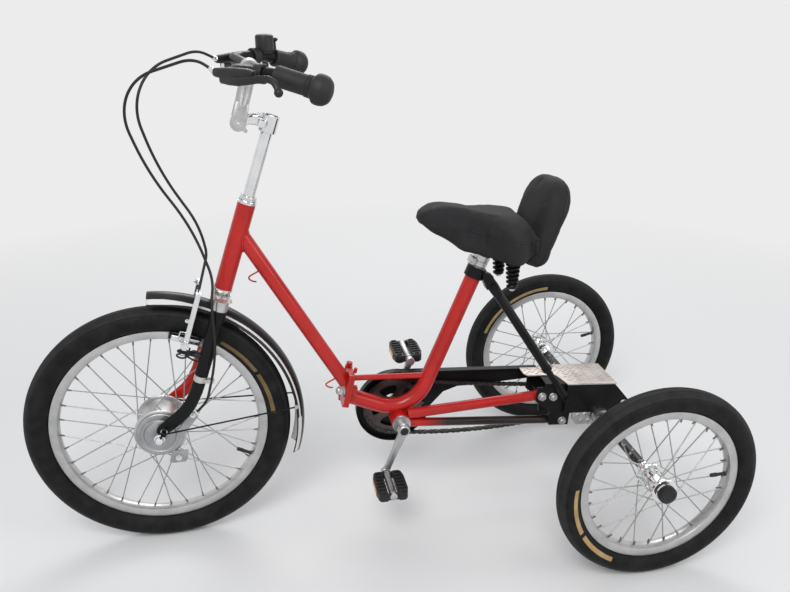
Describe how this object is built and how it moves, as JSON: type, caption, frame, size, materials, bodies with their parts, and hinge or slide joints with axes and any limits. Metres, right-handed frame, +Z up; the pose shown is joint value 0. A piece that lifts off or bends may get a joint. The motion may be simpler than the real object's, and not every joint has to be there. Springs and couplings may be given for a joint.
{
  "type": "upright tricycle",
  "caption": "Hinged-frame adult tricycle with a large steered front wheel, small rear wheels on a driven axle, padded saddle with backrest, swept handlebar, chain drive and a rear carrier deck",
  "frame": {"origin": "on the ground under the middle of the wheelbase envelope, in the middle plane of the frame", "axes": "+X forward, +Y to the rider's left, +Z up"},
  "size_m": [1.376, 0.694, 0.982],
  "materials": {
    "frame_red": "gloss red paint",
    "black_paint": "black paint",
    "chrome": "bright chrome plate",
    "steel": "zinc plated steel",
    "alloy": "satin alloy",
    "grey_alloy": "dull grey alloy",
    "tyre": "black tread with a tan band on the wall",
    "grip": "moulded black rubber",
    "black_plastic": "black plastic",
    "cover": "black vinyl cover",
    "cable": "black cable housing"
  },
  "bodies": {
    "rear_frame": {"seat_tube": "frame_red", "bottom_bracket_shell": "frame_red", "bottom_bracket_cups": "chrome", "rear_hinge_plate": "frame_red", "hinge_pin": "steel", "frame_brace": "frame_red", "rear_stays": "frame_red", "axle_housing": "black_paint", "axle_bearings": "steel", "deck_plate": "alloy", "chain": "steel", "chain_guard": "black_paint", "seat_collar": "black_paint", "seat_post": "grey_alloy", "rear_strut": "black_paint", "saddle": "cover", "saddle_springs": "black_paint", "backrest": "cover"},
    "crank": {"cranks": "grey_alloy", "chainring": "steel"},
    "left_pedal_body": {"left_pedal": "black_plastic"},
    "right_pedal_body": {"right_pedal": "black_plastic"},
    "front_frame": {"head_tube": "frame_red", "main_tube": "frame_red", "front_hinge_plate": "frame_red", "frame_clamp": "steel", "headset_cups": "chrome"},
    "steering": {"fork_crown": "grey_alloy", "fork_left_blade": "black_paint", "fork_right_blade": "frame_red", "front_axle": "steel", "stem_quill": "chrome", "stem_arm": "chrome", "bar_post": "grey_alloy", "handlebar": "black_paint", "grips": "grip", "brake_levers": "black_plastic", "bell": "black_plastic", "front_mudguard": "black_plastic", "mudguard_stays": "black_paint", "rim_brake": "alloy", "brake_plate": "alloy", "hub_brake_cable": "cable", "rim_brake_cable": "cable", "cable_clip": "steel"},
    "front_wheel": {"front_tyre": "tyre", "front_rim": "alloy", "front_spokes": "steel", "front_hub": "alloy"},
    "rear_left_wheel": {"rear_left_tyre": "tyre", "rear_left_rim": "alloy", "rear_left_spokes": "steel", "rear_left_hub": "steel"},
    "rear_right_wheel": {"rear_right_tyre": "tyre", "rear_right_rim": "alloy", "rear_right_spokes": "steel", "rear_right_hub": "steel", "axle_shaft": "black_paint", "axle_sprocket": "steel"}
  },
  "joints": [
    {"name": "frame_fold", "type": "hinge", "parent": "rear_frame", "child": "front_frame", "pos_m": [0.057, -0.027, 0.302], "axis": [0.23, 0, -0.9732], "range_deg": [0, 90]},
    {"name": "steer", "type": "hinge", "parent": "front_frame", "child": "steering", "pos_m": [0.38552, 0, 0.256], "axis": [-0.3223, 0, 0.9466], "range_deg": [-60, 60]},
    {"name": "front_wheel_spin", "type": "hinge", "parent": "steering", "child": "front_wheel", "pos_m": [0.432, 0, 0.256], "axis": [0, 1, 0], "continuous": true},
    {"name": "rear_left_wheel_spin", "type": "hinge", "parent": "rear_frame", "child": "rear_left_wheel", "pos_m": [-0.488, 0.302, 0.2], "axis": [0, 1, 0], "continuous": true},
    {"name": "rear_right_wheel_spin", "type": "hinge", "parent": "rear_frame", "child": "rear_right_wheel", "pos_m": [-0.488, -0.302, 0.2], "axis": [0, 1, 0], "continuous": true},
    {"name": "crank_spin", "type": "hinge", "parent": "rear_frame", "child": "crank", "pos_m": [-0.05, 0, 0.223], "axis": [0, 1, 0], "continuous": true},
    {"name": "left_pedal_spin", "type": "hinge", "parent": "crank", "child": "left_pedal_body", "pos_m": [-0.01113, 0.113, 0.1287], "axis": [0, 1, 0], "continuous": true},
    {"name": "right_pedal_spin", "type": "hinge", "parent": "crank", "child": "right_pedal_body", "pos_m": [-0.08887, -0.113, 0.3173], "axis": [0, 1, 0], "continuous": true}
  ]
}
